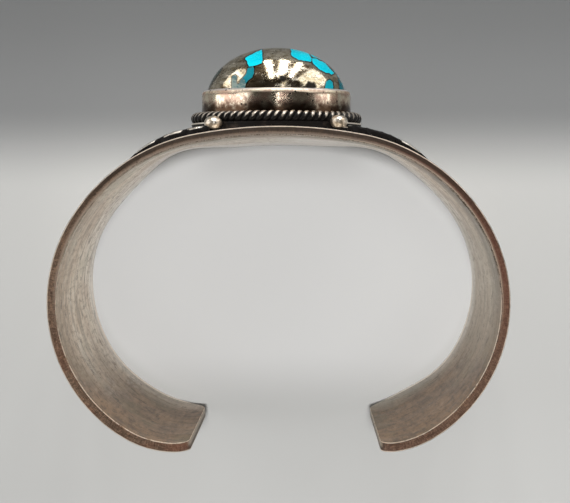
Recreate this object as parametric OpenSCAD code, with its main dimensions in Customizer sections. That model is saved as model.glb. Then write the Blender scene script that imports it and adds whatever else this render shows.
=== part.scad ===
// Open silver cuff with one large oval turquoise, lying on its side on one rim.
// +Z runs along the wrist, the stone faces -Y and the opening faces +Y.
// The origin is under the middle of the whole cuff, on the surface that it rests on.

/* [Band] */
// Thickness of the silver sheet
sheet_t = 1.3; // [1:0.1:1.6]
// Width of the band along the wrist
band_w = 38; // [34:0.5:42]
// Outer radius of the flat curve at the front
front_r = 60.5; // [58:0.5:64]
// Angle from the middle to where the front curve ends
front_half = 11; // [9:0.5:12]
// Outer radius of each shoulder
shoulder_r = 25; // [24:0.1:26]
// Angle that each shoulder turns through
shoulder_turn = 51; // [48:1:54]
// Outer radius of each side
side_r = 21.4; // [20.5:0.1:22]
// Angle that each side turns through
side_turn = 86; // [83:1:89]
// Outer radius of each end, which curls in a little more
end_r = 13.9; // [13:0.1:15]
// Distance from the middle to the end at +X
end_right = 12; // [10:0.5:14]
// Distance from the middle to the end at -X
end_left = 14; // [12:0.5:16]
// Radius of the ends' rounded corners on the rim that faces up
corner_r = 2.5; // [1:0.5:5]
// Radius of the ends' rounded corners on the rim that it lies on
low_corner_r = 6.5; // [1:0.5:7]

/* [Side plates] */
// Thickness of the plates soldered on the band
plate_t = 1; // [0.7:0.05:1.2]
// Distance from the middle to the tip of a side plate
plate_tip = 21; // [20:0.5:22]
// Half length of the pointed leaf in the middle of a side plate
leaf_half = 12; // [10:0.5:14]
// Half width of that leaf
leaf_w = 7.5; // [6:0.5:9]
// Radius of the four drops
drop_r = 1.15; // [0.9:0.05:1.3]
// Height of their middles above the side plates
drop_lift = 0.65; // [0.4:0.05:0.9]
// Angle round the setting at which the drops sit
drop_at = 47; // [44:1:50]

/* [Setting] */
// Distance of the stone from the middle of the band, towards +X
setting_x = 0.6; // [0:0.1:1]
// Half length of the bezel, across the wrist
bezel_a = 10.93; // [10:0.01:11.5]
// Half width of the bezel, along the wrist
bezel_b = 8; // [7.5:0.05:8.5]
// Thickness of the bezel strip
bezel_t = 0.45; // [0.3:0.05:0.5]
// Height of the bezel's lip above the band
lip_h = 6; // [5:0.1:7]
// How far the lip leans in over the stone
lip_lean = 0.9; // [0.7:0.05:1]
// Thickness of the lip
lip_t = 0.35; // [0.3:0.05:0.4]
// Thickness of the backing plate
backing_t = 0.4; // [0.3:0.05:0.6]
// Height of its upper face above the band
backing_top = 1.1; // [1:0.05:1.3]
// Thickness of the twisted wire
rope_d = 1.66; // [1.5:0.02:1.8]
// Number of turns that the twisted wire makes
rope_turns = 32; // [24:1:40]

/* [Stone] */
// Height of the stone's top above the band
stone_h = 12.3; // [10:0.1:14]
// Height of the stone's straight lower part above the band
girdle_h = 2.8; // [2:0.1:4]
// How full the dome is, where 2 is an ellipse
fullness = 2.5; // [2:0.1:3]

/* [Hidden] */
$fn = 48;
// Clearance between pieces that aren't soldered together
gap = 0.05;
// How far soldered pieces run into each other
bite = 0.05;
// Extra length of a cutting body past the piece that it cuts
past = 1;
// Degrees between two points of the band's outline
arc_step = 3;
// Sections in each turn of the twisted wire
rings_a_turn = 7;
// Points round the stone, and levels between its girdle and its top
stone_sides = 48;
stone_levels = 12;
// How far the side plates reach into the sheet under them
sunk = 0.4;
// Angle from the front at which the sheet under the side plates stops
plate_curl = 40;

// The outline of the band is drawn with the outer front at y = 0, and runs from the middle to one end.
// It is a chain of arcs, each a centre, an outer radius and the angle at which the next one takes over.
side_start = front_half + shoulder_turn;
curl = side_start + side_turn;
front_c = [0, front_r];
shoulder_c = front_c + (front_r - shoulder_r) * heading(front_half);
side_c = shoulder_c + (shoulder_r - side_r) * heading(side_start);
end_c = side_c + (side_r - end_r) * heading(curl);
CHAIN = [
    [front_c, front_r, front_half],
    [shoulder_c, shoulder_r, side_start],
    [side_c, side_r, curl],
    [end_c, end_r, 270]
];
band_depth = end_c[1] + end_r;
front_y = (stone_h - band_depth) / 2;

// Direction at an angle from the front, turning towards the end at +X
function heading(angle) = [sin(angle), -cos(angle)];
function arc(centre, r, from, to) =
    let (n = ceil((to - from) / arc_step))
    [for (i = [0:n]) centre + r * heading(from + (to - from) * i / n)];
function reversed(points) = [for (i = [len(points) - 1:-1:0]) points[i]];
function mirrored(points) = [for (p = reversed(points)) [-p[0], p[1]]];

// Half of the outline, moved out by off, from the front to the angle where the end is reached
function half_outline(off, last) = [
    for (k = [0:3])
        let (start = k == 0 ? 0 : CHAIN[k - 1][2])
        if (start < last)
            each arc(CHAIN[k][0], CHAIN[k][1] + off, start, min(last, CHAIN[k][2]))
];
function outline(off, last_right, last_left) = concat(
    mirrored(half_outline(off, last_left)), half_outline(off, last_right));
function end_angle(distance) = 180 - asin((distance - end_c[0]) / end_r);

// The setting's outlines are drawn across the front, as parallel curves of the bezel's outer oval.
function oval_at(angle, off) =
    let (n = [bezel_b * cos(angle), bezel_a * sin(angle)])
    [bezel_a * cos(angle), bezel_b * sin(angle)] + off * n / norm(n);
function oval(off, n = 72) = [for (i = [0:n - 1]) oval_at(360 * i / n, off)];
rope_off = rope_d / 2 - bite;
foot_off = rope_d - 3 * bite;
rope_h = backing_top + rope_d / 2 - bite;

// Lobes on the edge of a side plate: distance from the middle, distance from mid width, radius
LOBES = [
    [11.3, 16, 1.9],
    [14.3, 15.6, 2.3],
    [18, 15.4, 2.5],
    [18.6, 10.6, 2.4],
    [18.9, 6.2, 2.3]
];
// Half of the outline of the ground that the lobes stand on, which steps back beside the drops
GROUND = [[7.2, 9.8], [10.2, 9.8], [11.2, 14.2], [17.8, 14.2], [19.2, 8]];

// A solid strip between two parallel outlines
module strip(off_in, off_out, last_right, last_left) {
    linear_extrude(band_w)
        polygon(concat(outline(off_out, last_right, last_left),
            reversed(outline(off_in, last_right, last_left))));
}

// Extrudes a shape drawn across the front, from one height above the band to another
module across(h0, h1) {
    translate([0, -h0, band_w / 2])
        rotate([90, 0, 0])
            linear_extrude(h1 - h0)
                children();
}

// What is cut from a square corner to round it, where the corner is at the origin
module corner(r) {
    difference() {
        translate([-past, -past])
            square([r + past, r + past]);
        translate([r, r])
            circle(r);
    }
}

// What is cut from both corners of one end of the strip
module end_corners(distance) {
    across(-band_depth - past, sheet_t + 3 * past - band_depth) {
        translate([distance, -band_w / 2])
            corner(low_corner_r);
        translate([distance, band_w / 2])
            mirror([0, 1])
                corner(corner_r);
    }
}

module band() {
    difference() {
        strip(-sheet_t, 0, end_angle(end_right), end_angle(end_left));
        end_corners(end_right);
        mirror([1, 0, 0])
            end_corners(end_left);
    }
}

// Outline of one side plate: a pointed leaf on a ground with scalloped edges
module plate_outline() {
    leaf_r = (leaf_half * leaf_half + leaf_w * leaf_w) / (2 * leaf_w);
    intersection() {
        translate([plate_tip - leaf_half, leaf_r - leaf_w])
            circle(leaf_r);
        translate([plate_tip - leaf_half, leaf_w - leaf_r])
            circle(leaf_r);
    }
    polygon(concat(GROUND, [for (p = reversed(GROUND)) [p[0], -p[1]]]));
    for (lobe = LOBES, side = [-1, 1])
        translate([lobe[0], side * lobe[1]])
            circle(lobe[2]);
}

module side_plates() {
    difference() {
        intersection() {
            strip(-sunk, plate_t, plate_curl, plate_curl);
            across(-band_depth / 2, plate_t + past) {
                plate_outline();
                mirror([1, 0])
                    plate_outline();
            }
        }
        across(-band_depth / 2, plate_t + 2 * past)
            translate([setting_x, 0])
                polygon(oval(foot_off + gap));
    }
}

module drops() {
    for (sx = [-1, 1], sz = [-1, 1]) {
        p = oval_at(drop_at, rope_off + rope_d / 2 + gap + drop_r);
        x = setting_x + sx * p[0];
        plate_h = plate_t - front_r + sqrt(front_r * front_r - x * x);
        translate([x, -plate_h - drop_lift, band_w / 2 + sz * p[1]])
            sphere(drop_r);
    }
}

// The strip with what is soldered on it
module cuff_band() {
    color([0.72, 0.70, 0.67])
        translate([0, front_y, 0])
            union() {
                band();
                side_plates();
                drops();
            }
}

// The flat backing plate, on a foot that is fitted to the curve of the band
module backing_plate() {
    translate([setting_x, 0, 0])
        across(backing_top - backing_t, backing_top)
            polygon(oval(foot_off));
    difference() {
        translate([setting_x, 0, 0])
            across(-bezel_b / 2, backing_top - backing_t / 2)
                polygon(oval(foot_off - gap));
        translate([0, 0, -past])
            linear_extrude(band_w + 2 * past)
                polygon(outline(gap, plate_curl, plate_curl));
    }
}

// The strip round the stone, with its upper edge rubbed over
module bezel() {
    translate([setting_x, 0, 0]) {
        across(backing_top - backing_t / 2, lip_h - lip_t)
            difference() {
                polygon(oval(0));
                polygon(oval(-bezel_t));
            }
        across(lip_h - 2 * lip_t, lip_h)
            difference() {
                polygon(oval(-bezel_t / 2));
                polygon(oval(-lip_lean));
            }
    }
}

// Section of the two twisted strands, as two lobes of five points each
function strand(angle) = [for (k = [-2:2]) [cos(angle), sin(angle)] + heading(angle + 90 + 56 * k)];
function rope_section() = rope_d / 4 * concat(strand(0), strand(180));

// Sweeps the section round the oval while it turns
module rope() {
    rings = rope_turns * rings_a_turn;
    section = rope_section();
    path = [for (i = [0:rings]) oval_at(360 * i / rings, rope_off)];
    steps = [for (i = [1:rings]) norm(path[i] - path[i - 1])];
    run = [for (i = 0, s = 0; i <= rings; s = s + (i < rings ? steps[i] : 0), i = i + 1) s];
    sides = len(section);
    points = [
        for (i = [0:rings - 1])
            let (
                out = (oval_at(360 * i / rings, rope_off + 1) - path[i]),
                turn = 360 * rope_turns * run[i] / run[rings]
            )
            for (p = section)
                let (
                    u = p[0] * cos(turn) - p[1] * sin(turn),
                    v = p[0] * sin(turn) + p[1] * cos(turn)
                )
                [path[i][0] + out[0] * u, path[i][1] + out[1] * u, v]
    ];
    faces = [
        for (i = [0:rings - 1], j = [0:sides - 1])
            let (
                i2 = (i + 1) % rings,
                j2 = (j + 1) % sides
            )
            each [
                [i * sides + j, i2 * sides + j2, i2 * sides + j],
                [i * sides + j, i * sides + j2, i2 * sides + j2]
            ]
    ];
    translate([setting_x, -rope_h, band_w / 2])
        rotate([90, 0, 0])
            polyhedron(points, faces);
}

// Backing plate, bezel and twisted wire, soldered into one mount
module setting() {
    color([0.66, 0.63, 0.58])
        translate([0, front_y, 0])
            union() {
                backing_plate();
                bezel();
                rope();
            }
}

// One level of the stone, as points round it
function stone_ring(size, height) =
    let (a = bezel_a - bezel_t - gap, b = bezel_b - bezel_t - 4 * gap)
    [for (i = [0:stone_sides - 1])
        [a * size * cos(360 * i / stone_sides), b * size * sin(360 * i / stone_sides), height]];

// A high dome over a straight girdle
module stone() {
    rises = [for (k = [0:stone_levels - 1]) sin(90 * k / stone_levels)];
    rings = concat(
        [stone_ring(1, backing_top + gap)],
        [for (s = rises) stone_ring(sqrt(1 - pow(s, fullness)), girdle_h + (stone_h - girdle_h) * s)]);
    points = concat([for (ring = rings) each ring], [[0, 0, stone_h]]);
    sides = stone_sides;
    top_row = (len(rings) - 1) * sides;
    base = [for (i = [0:sides - 1]) i];
    walls = [
        for (k = [0:len(rings) - 2], i = [0:sides - 1])
            let (i2 = (i + 1) % sides)
            each [
                [k * sides + i, (k + 1) * sides + i2, k * sides + i2],
                [k * sides + i, (k + 1) * sides + i, (k + 1) * sides + i2]
            ]
    ];
    top = [for (i = [0:sides - 1]) [top_row + i, top_row + sides, top_row + (i + 1) % sides]];
    color([0.10, 0.72, 0.75])
        translate([setting_x, front_y, band_w / 2])
            rotate([90, 0, 0])
                polyhedron(points, concat([base], walls, top));
}

cuff_band();
setting();
stone();
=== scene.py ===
import math

import bpy
from mathutils import Matrix, Vector, noise


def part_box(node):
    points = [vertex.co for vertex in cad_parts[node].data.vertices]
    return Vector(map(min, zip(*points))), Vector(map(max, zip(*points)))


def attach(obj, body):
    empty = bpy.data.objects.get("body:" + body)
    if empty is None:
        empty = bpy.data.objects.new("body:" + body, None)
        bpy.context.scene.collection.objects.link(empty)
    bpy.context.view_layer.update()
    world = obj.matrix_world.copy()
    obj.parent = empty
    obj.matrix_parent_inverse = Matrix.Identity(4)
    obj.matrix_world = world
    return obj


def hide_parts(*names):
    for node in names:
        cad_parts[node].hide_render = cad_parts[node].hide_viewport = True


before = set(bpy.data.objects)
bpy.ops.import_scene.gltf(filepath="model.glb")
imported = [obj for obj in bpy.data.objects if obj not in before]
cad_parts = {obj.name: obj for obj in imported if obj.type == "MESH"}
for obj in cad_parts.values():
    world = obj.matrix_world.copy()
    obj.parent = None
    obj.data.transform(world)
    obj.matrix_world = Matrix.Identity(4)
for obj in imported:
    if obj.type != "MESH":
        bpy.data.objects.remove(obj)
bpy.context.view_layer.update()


# Camera
# The photograph looks through the cuff, almost along the wrist, from 200 mm away. Here the cuff lies on its
# side, so the same view is from above. The stone's side (-Y) is at the picture's top, and +X at its left.
MM = 0.001
band_low, band_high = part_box("cuff_band")
BAND_WIDTH = band_high.z - band_low.z
BAND_DEPTH = 44.222 * MM
BACK_Y = band_high.y
FRONT_Y = BACK_Y - BAND_DEPTH
VIEW_DISTANCE = 200 * MM
PHOTO_WIDTH = 570
FOCAL_PIXELS = 1484
eye = Vector((-3.64 * MM, FRONT_Y + 9.31 * MM, BAND_WIDTH + VIEW_DISTANCE))
aim = Vector((-0.94 * MM, FRONT_Y + 16.91 * MM, BAND_WIDTH))
forward = (aim - eye).normalized()
right = forward.cross(Vector((0, -1, 0))).normalized()
up = right.cross(forward)
camera_data = bpy.data.cameras.new("photo_camera")
camera_data.sensor_width = 36
camera_data.lens = FOCAL_PIXELS / PHOTO_WIDTH * camera_data.sensor_width
camera_data.clip_start = 0.01
camera_data.clip_end = 20
camera = bpy.data.objects.new("photo_camera", camera_data)
camera.matrix_world = Matrix((
    (right.x, up.x, -forward.x, eye.x),
    (right.y, up.y, -forward.y, eye.y),
    (right.z, up.z, -forward.z, eye.z),
    (0, 0, 0, 1),
))
bpy.context.scene.collection.objects.link(camera)
bpy.context.scene.camera = camera


# Cuff band
# One strip of sterling sheet, sawn out, bent over an oval mandrel and filed at its edges. Years on the wrist
# have polished the inside in streaks, dulled the brushed outside and left the sawn rims brown.
SHEET = 1.3 * MM
FRONT_R, FRONT_HALF = 60.5 * MM, math.radians(11)
SHOULDER_R, SHOULDER_TURN = 25 * MM, math.radians(51)
SIDE_R, SIDE_TURN = 21.4 * MM, math.radians(86)
END_R = 13.9 * MM
END_LEFT = 12 * MM
END_RIGHT = 14 * MM
# Corners of the ends on the near rim, and on the rim that the cuff lies on
CORNER_R = 2.5 * MM
LOW_CORNER_R = 6.5 * MM


def heading(angle):
    return Vector((math.sin(angle), -math.cos(angle), 0))


SIDE_START = FRONT_HALF + SHOULDER_TURN
CURL = SIDE_START + SIDE_TURN
front_centre = Vector((0, FRONT_Y + FRONT_R, 0))
shoulder_centre = front_centre + (FRONT_R - SHOULDER_R) * heading(FRONT_HALF)
side_centre = shoulder_centre + (SHOULDER_R - SIDE_R) * heading(SIDE_START)
end_centre = side_centre + (SIDE_R - END_R) * heading(CURL)
CHAIN = (
    (front_centre, FRONT_R, 0, FRONT_HALF),
    (shoulder_centre, SHOULDER_R, FRONT_HALF, SIDE_START),
    (side_centre, SIDE_R, SIDE_START, CURL),
    (end_centre, END_R, CURL, math.tau),
)


def sheet_place(co):
    """Distance along the band from its middle, depth below its outer face and height on the wrist, in mm."""
    side = 1 if co.x >= 0 else -1
    flat = Vector((abs(co.x), co.y, 0))
    run = 0
    for centre, radius, start, end in CHAIN:
        arm = flat - centre
        turn = math.atan2(arm.x, -arm.y) % math.tau
        if turn <= end:
            return Vector((side * (run + radius * (turn - start)), radius - arm.length, co.z)) / MM
        run += radius * (end - start)


# How far out (mm) the far rim is bent, at which angle from -X over -Y, and over how wide an angle
FAR_BULGES = (
    (0.6, 15, 28), (1.1, 52, 14), (1.45, 132, 14), (0.75, 168, 22), (-0.6, 225, 14), (-1.0, 315, 11)
)
OVAL_MIDDLE_Y = FRONT_Y + 21.4 * MM


def sprung(co):
    """The far rim is bent out of the near rim's oval at the shoulders and sides, and into it by the ends."""
    arm = Vector((co.x, co.y - OVAL_MIDDLE_Y, 0))
    turn = math.degrees(math.atan2(-arm.y, -arm.x))
    spring = 0
    for out, middle, wide in FAR_BULGES:
        off = (turn - middle + 180) % 360 - 180
        spring += out * math.exp(-(off / wide) ** 2)
    return co + arm.normalized() * spring * MM * max(0, 1 - co.z / BAND_WIDTH)


def select_only(mesh_object, chosen):
    """Selects the vertices of the object in edit mode for which chosen(co) holds."""
    bpy.ops.object.mode_set(mode="OBJECT")
    mesh = mesh_object.data
    for polygon in mesh.polygons:
        polygon.select = False
    for edge in mesh.edges:
        edge.select = False
    for vertex in mesh.vertices:
        vertex.select = chosen(vertex.co)
    for edge in mesh.edges:
        edge.select = all(mesh.vertices[v].select for v in edge.vertices)
    bpy.ops.object.mode_set(mode="EDIT")


def turn_faces_out():
    """Makes all faces of the active piece point outwards, and ends in object mode."""
    bpy.ops.object.mode_set(mode="EDIT")
    bpy.ops.mesh.select_all(action="SELECT")
    bpy.ops.mesh.normals_make_consistent(inside=False)
    bpy.ops.object.mode_set(mode="OBJECT")


def keep(mesh, name, values):
    """Keeps one number or one vector for each vertex, for the material."""
    if isinstance(values[0], Vector):
        kept = mesh.attributes.new(name, "FLOAT_VECTOR", "POINT")
        kept.data.foreach_set("vector", [number for value in values for number in value])
    else:
        kept = mesh.attributes.new(name, "FLOAT", "POINT")
        kept.data.foreach_set("value", values)


bpy.ops.object.select_all(action="DESELECT")
bpy.ops.mesh.primitive_plane_add(size=1, rotation=(0, math.radians(90), 0))
band = bpy.context.object
band.name = "cuff_band_strip"
band.data.name = band.name
bpy.ops.object.transform_apply(location=True, rotation=True, scale=True)
for corner in band.data.vertices:
    corner.co = Vector((0, FRONT_Y + (corner.co.y + 0.5) * SHEET, (corner.co.z + 0.5) * BAND_WIDTH))
bpy.ops.object.mode_set(mode="EDIT")
bpy.ops.mesh.select_all(action="SELECT")
bpy.ops.mesh.delete(type="ONLY_FACE")
bpy.ops.object.mode_set(mode="OBJECT")
for edge in band.data.edges:
    ends = [band.data.vertices[v].co for v in edge.vertices]
    edge.select = abs(ends[0].z - ends[1].z) > BAND_WIDTH / 2
bpy.ops.object.mode_set(mode="EDIT")
bpy.ops.mesh.select_mode(type="EDGE")
bpy.ops.mesh.subdivide(number_cuts=37)
bpy.ops.mesh.select_mode(type="VERT")

for side, distance in ((1, END_LEFT), (-1, END_RIGHT)):
    select_only(band, lambda co: abs(co.x) < 0.01 * MM)
    last = math.pi - math.asin((distance - end_centre.x) / END_R)
    corner_turn = LOW_CORNER_R / END_R
    arcs = (
        (front_centre, FRONT_HALF, 14),
        (shoulder_centre, SHOULDER_TURN, 40),
        (side_centre, SIDE_TURN, 60),
        (end_centre, last - CURL - corner_turn, 16),
    )
    for centre, turn, steps in arcs:
        bpy.ops.mesh.spin(
            steps=steps, angle=-side * turn, center=(side * centre.x, centre.y, 0), axis=(0, 0, 1)
        )
    low, high = 0, BAND_WIDTH
    reached = 0
    corner_steps = 14
    for number in range(1, corner_steps + 1):
        turn = corner_turn * math.sin(math.radians(90 * number / corner_steps))
        bpy.ops.mesh.spin(
            steps=1, angle=-side * (turn - reached), center=(side * end_centre.x, end_centre.y, 0),
            axis=(0, 0, 1)
        )
        past_low = turn * END_R
        past_high = max(0, past_low - LOW_CORNER_R + CORNER_R)
        new_low = LOW_CORNER_R - math.sqrt(max(0, LOW_CORNER_R ** 2 - past_low ** 2))
        new_high = BAND_WIDTH - CORNER_R + math.sqrt(max(0, CORNER_R ** 2 - past_high ** 2))
        shorter = (new_high - new_low) / (high - low)
        fixed = (new_low - low * shorter) / (1 - shorter)
        bpy.ops.transform.resize(value=(1, 1, shorter), center_override=(0, 0, fixed))
        low, high = new_low, new_high
        reached = turn
    bpy.ops.mesh.edge_face_add()
bpy.ops.mesh.select_all(action="SELECT")
bpy.ops.mesh.remove_doubles(threshold=0.001 * MM)
turn_faces_out()
edges = band.modifiers.new("filed_edges", "BEVEL")
edges.width = 0.25 * MM
edges.segments = 3
edges.limit_method = "ANGLE"
edges.angle_limit = math.radians(40)
bpy.ops.object.modifier_apply(modifier="filed_edges")
places = [sheet_place(vertex.co) for vertex in band.data.vertices]
keep(band.data, "sheet_place", places)
LEFT_FACE = max(spot.x for spot in places)
RIGHT_FACE = -min(spot.x for spot in places)
for vertex in band.data.vertices:
    vertex.co = sprung(vertex.co)
bpy.ops.object.shade_smooth_by_angle(angle=math.radians(40))


def paint(red, green, blue):
    """A colour as it reads on a screen, from 0 to 255."""
    linear = []
    for part in (red / 255, green / 255, blue / 255):
        linear.append(part / 12.92 if part <= 0.04045 else ((part + 0.055) / 1.055) ** 2.4)
    return (*linear, 1)


def finish_tree(piece, name):
    """Gives a piece a new material, and returns the material's tree and its shader."""
    finish = bpy.data.materials.new(name)
    finish.use_nodes = True
    piece.data.materials.clear()
    piece.data.materials.append(finish)
    return finish.node_tree, finish.node_tree.nodes["Principled BSDF"]


def step(tree, kind, inputs, **settings):
    """Adds one step to a material: a socket given as an input is joined, and any other value is set."""
    made = tree.nodes.new("ShaderNode" + kind)
    for name, value in settings.items():
        setattr(made, name, value)
    for name, value in inputs.items():
        if isinstance(value, bpy.types.NodeSocket):
            tree.links.new(value, made.inputs[name])
        else:
            made.inputs[name].default_value = value
    return made


def sums(tree, operation, first, second=0.0, third=0.0):
    """One step of arithmetic, with numbers or sockets."""
    return step(tree, "Math", {0: first, 1: second, 2: third}, operation=operation).outputs[0]


def times(tree, first, second):
    return sums(tree, "MULTIPLY", first, second)


def ramp(tree, value, low, high, start=0.0, end=1.0):
    """Rises smoothly from start to end while the value goes from low to high."""
    inputs = {"Value": value, "From Min": low, "From Max": high, "To Min": start, "To Max": end}
    return step(tree, "MapRange", inputs, interpolation_type="SMOOTHSTEP").outputs[0]


def blend(tree, factor, first, second):
    return step(tree, "Mix", {0: factor, 6: first, 7: second}, data_type="RGBA").outputs[2]


def stain(tree, base, rows):
    """Lays colours over a base. A row: a pattern, where its colour starts and is full, its share, and it."""
    for pattern, start, full, share, colour in rows:
        base = blend(tree, ramp(tree, pattern, start, full, 0.0, share), base, paint(*colour))
    return base


def grain(tree, place, stretch, detail=4.0, roughness=0.6, shift=0.0):
    """Noise that is drawn out by stretching the place that it is read at."""
    moved = {0: place, 1: stretch, 2: (shift, shift, shift)}
    drawn = step(tree, "VectorMath", moved, operation="MULTIPLY_ADD").outputs[0]
    inputs = {"Vector": drawn, "Scale": 1.0, "Detail": detail, "Roughness": roughness}
    return step(tree, "TexNoise", inputs).outputs[0]


def pits(tree, place, stretch, size, kept):
    """Small round pits in some of the cells: 1 in a pit and 0 elsewhere."""
    drawn = step(tree, "VectorMath", {0: place, 1: stretch}, operation="MULTIPLY").outputs[0]
    cells = step(tree, "TexVoronoi", {"Vector": drawn, "Scale": 1.0})
    near = ramp(tree, cells.outputs["Distance"], size, size * 0.4)
    red = step(tree, "SeparateColor", {0: cells.outputs["Color"]}).outputs[0]
    return times(tree, near, ramp(tree, red, kept, kept - 0.05))


def stand_up(tree, shader, height, strength, distance):
    """Makes a pattern catch the light as if it stood up from the surface by a distance."""
    bumps = step(tree, "Bump", {"Strength": strength, "Distance": distance, "Height": height})
    tree.links.new(bumps.outputs[0], shader.inputs["Normal"])


tree, shader = finish_tree(band, "worn_silver_sheet")
place = step(tree, "Attribute", {}, attribute_name="sheet_place").outputs["Vector"]
along, depth, height = step(tree, "SeparateXYZ", {0: place}).outputs
from_middle = sums(tree, "ABSOLUTE", along)
rim = times(tree, ramp(tree, depth, 0.09, 0.17), ramp(tree, depth, 1.21, 1.13))
streaks = grain(tree, place, (0.045, 3.0, 0.42), 6.0, 0.72)
lines = grain(tree, place, (0.14, 3.0, 0.52), 4.0, 0.7, 13.0)
clouds = grain(tree, place, (0.12, 0.4, 0.09), 3.0, 0.6, 7.0)
mottling = grain(tree, place, (1.1, 1.5, 0.3), 5.0, 0.75, 17.0)
scratches = ramp(tree, grain(tree, place, (0.4, 3.0, 0.55), 4.0, 0.65, 31.0), 0.59, 0.63)
specks = pits(tree, place, (0.9, 1.3, 0.5), 0.2, 0.2)
# Painted light and shade on the inside: darker towards the near rim, lighter low down and at the front middle
inner = blend(tree, ramp(tree, height, 38.0, 25.0), paint(200, 187, 168), paint(238, 228, 212))
painted_light_low = times(tree, ramp(tree, height, 24.0, 6.0), ramp(tree, from_middle, 28.0, 46.0, 1.0, 0.3))
inner = blend(tree, painted_light_low, inner, paint(253, 250, 244))
inner = blend(tree, ramp(tree, from_middle, 30.0, 8.0, 0.0, 0.5), inner, paint(255, 254, 252))
# Painted shade: darker near the near rim at the front, and darker still on the right
near_front = times(tree, ramp(tree, along, -56.0, -26.0), ramp(tree, along, 26.0, 8.0))
near_front = times(tree, near_front, ramp(tree, height, 25.0, 36.0, 0.0, 0.72))
inner = blend(tree, near_front, inner, paint(128, 114, 99))
near_right = times(tree, ramp(tree, along, -50.0, -38.0), ramp(tree, along, -4.0, -10.0))
near_right = times(tree, near_right, ramp(tree, height, 26.0, 34.0, 0.0, 0.75))
inner = blend(tree, near_right, inner, paint(60, 51, 42))
inner = stain(tree, inner, (
    (streaks, 0.5, 0.6, 0.45, (140, 126, 106)), (streaks, 0.46, 0.38, 0.55, (255, 253, 248)),
    (mottling, 0.52, 0.6, 0.5, (128, 114, 96)), (mottling, 0.46, 0.38, 0.4, (255, 253, 248)),
    (lines, 0.52, 0.62, 0.5, (118, 104, 88)),
    (clouds, 0.46, 0.6, 0.35, (176, 150, 126)), (clouds, 0.46, 0.36, 0.35, (186, 186, 168)),
    (along, -22.0, -38.0, 0.48, (132, 129, 119)),
))
# Towards the ends the inside turns umber: brown tarnish, and also painted shade there, a little less near the
# far rim
along_end = sums(tree, "ADD", from_middle, ramp(tree, height, 24.0, 37.0, 0.0, 4.0))
to_ends = ramp(tree, sums(tree, "SUBTRACT", along_end, ramp(tree, along, -1.0, 1.0, 0.0, 4.0)), 43.0, 62.0)
blotches = grain(tree, place, (0.3, 1.0, 0.11), 6.0, 0.72, 41.0)
umber = blend(tree, ramp(tree, blotches, 0.3, 0.7), paint(150, 117, 84), paint(94, 71, 49))
umber = stain(tree, umber, (
    (mottling, 0.5, 0.62, 0.55, (72, 50, 32)), (mottling, 0.47, 0.37, 0.25, (184, 152, 120)),
    (clouds, 0.5, 0.62, 0.4, (112, 108, 82)), (lines, 0.54, 0.66, 0.35, (66, 50, 38)),
))
above_far_rim = sums(tree, "MULTIPLY_ADD", ramp(tree, height, 3.0, 12.0), 0.4, 0.52)
inner = blend(tree, times(tree, to_ends, above_far_rim), inner, umber)
scored = times(tree, ramp(tree, from_middle, 16.0, 34.0, 0.38, 0.6), scratches)
inner = blend(tree, scored, inner, paint(70, 58, 46))
# Painted light: lighter low down near the middle, near the near rim just right of the front middle, and above
# the far rim
painted_light = times(tree, ramp(tree, height, 20.0, 4.0, 0.0, 0.7), ramp(tree, from_middle, 28.0, 12.0))
front_right_sheen = times(tree, ramp(tree, along, -15.0, -7.0), ramp(tree, along, 3.0, -4.0))
painted_light = sums(tree, "MAXIMUM", painted_light, times(tree, front_right_sheen, ramp(tree, height, 36.0, 27.0, 0.0, 0.6)))
far_rim = times(tree, ramp(tree, height, 7.0, 2.0, 0.0, 0.45), ramp(tree, from_middle, 68.0, 38.0, 0.3))
inner = blend(tree, sums(tree, "MAXIMUM", painted_light, far_rim), inner, paint(252, 254, 255))
outside = ramp(tree, depth, 0.14, 0.06)
hairlines = grain(tree, place, (0.22, 1.0, 2.6), 5.0, 0.7, 53.0)
dull = grain(tree, place, (0.1, 0.4, 0.14), 5.0, 0.6, 61.0)
skin = blend(tree, ramp(tree, hairlines, 0.36, 0.64), paint(224, 216, 203), paint(190, 180, 165))
skin = blend(tree, ramp(tree, dull, 0.44, 0.64, 0.0, 0.55), skin, paint(150, 135, 115))
skin = blend(tree, times(tree, to_ends, 0.35), skin, paint(128, 104, 80))
inner = blend(tree, times(tree, outside, 0.88), inner, skin)
file_marks = grain(tree, place, (0.5, 22.0, 0.5), 5.0, 0.75)
cross_marks = grain(tree, place, (5.0, 1.2, 1.0), 3.0, 0.7, 5.0)
patches = grain(tree, place, (0.16, 1.4, 0.3), 6.0, 0.75, 11.0)
brown = blend(tree, ramp(tree, file_marks, 0.38, 0.62), paint(66, 51, 42), paint(122, 100, 83))
flecks = grain(tree, place, (2.4, 3.4, 0.75), 3.0, 0.6, 19.0)
brown = stain(tree, brown, (
    (cross_marks, 0.5, 0.64, 0.55, (146, 122, 102)), (cross_marks, 0.46, 0.36, 0.5, (46, 36, 30)),
    (patches, 0.52, 0.62, 0.5, (54, 41, 32)), (patches, 0.46, 0.36, 0.4, (140, 112, 90)),
    (flecks, 0.56, 0.68, 0.45, (156, 122, 98)), (flecks, 0.44, 0.34, 0.55, (50, 37, 30)),
))
reddish = times(tree, ramp(tree, along, 44.0, 62.0, 0.0, 0.35), ramp(tree, clouds, 0.4, 0.6))
brown = blend(tree, reddish, brown, paint(128, 76, 56))
red_side = times(tree, ramp(tree, along, -8.0, -20.0), ramp(tree, along, -56.0, -36.0, 0.15, 0.5))
brown = blend(tree, red_side, brown, paint(108, 62, 50))
front_dark = times(tree, ramp(tree, depth, 0.8, 0.55), ramp(tree, from_middle, 44.0, 22.0, 0.0, 0.85))
brown = blend(tree, front_dark, brown, paint(40, 32, 26))
fresh = times(tree, ramp(tree, depth, 0.7, 1.1, 0.0, 0.9), ramp(tree, from_middle, 50.0, 34.0))
brown = blend(tree, fresh, brown, paint(146, 130, 114))
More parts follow.
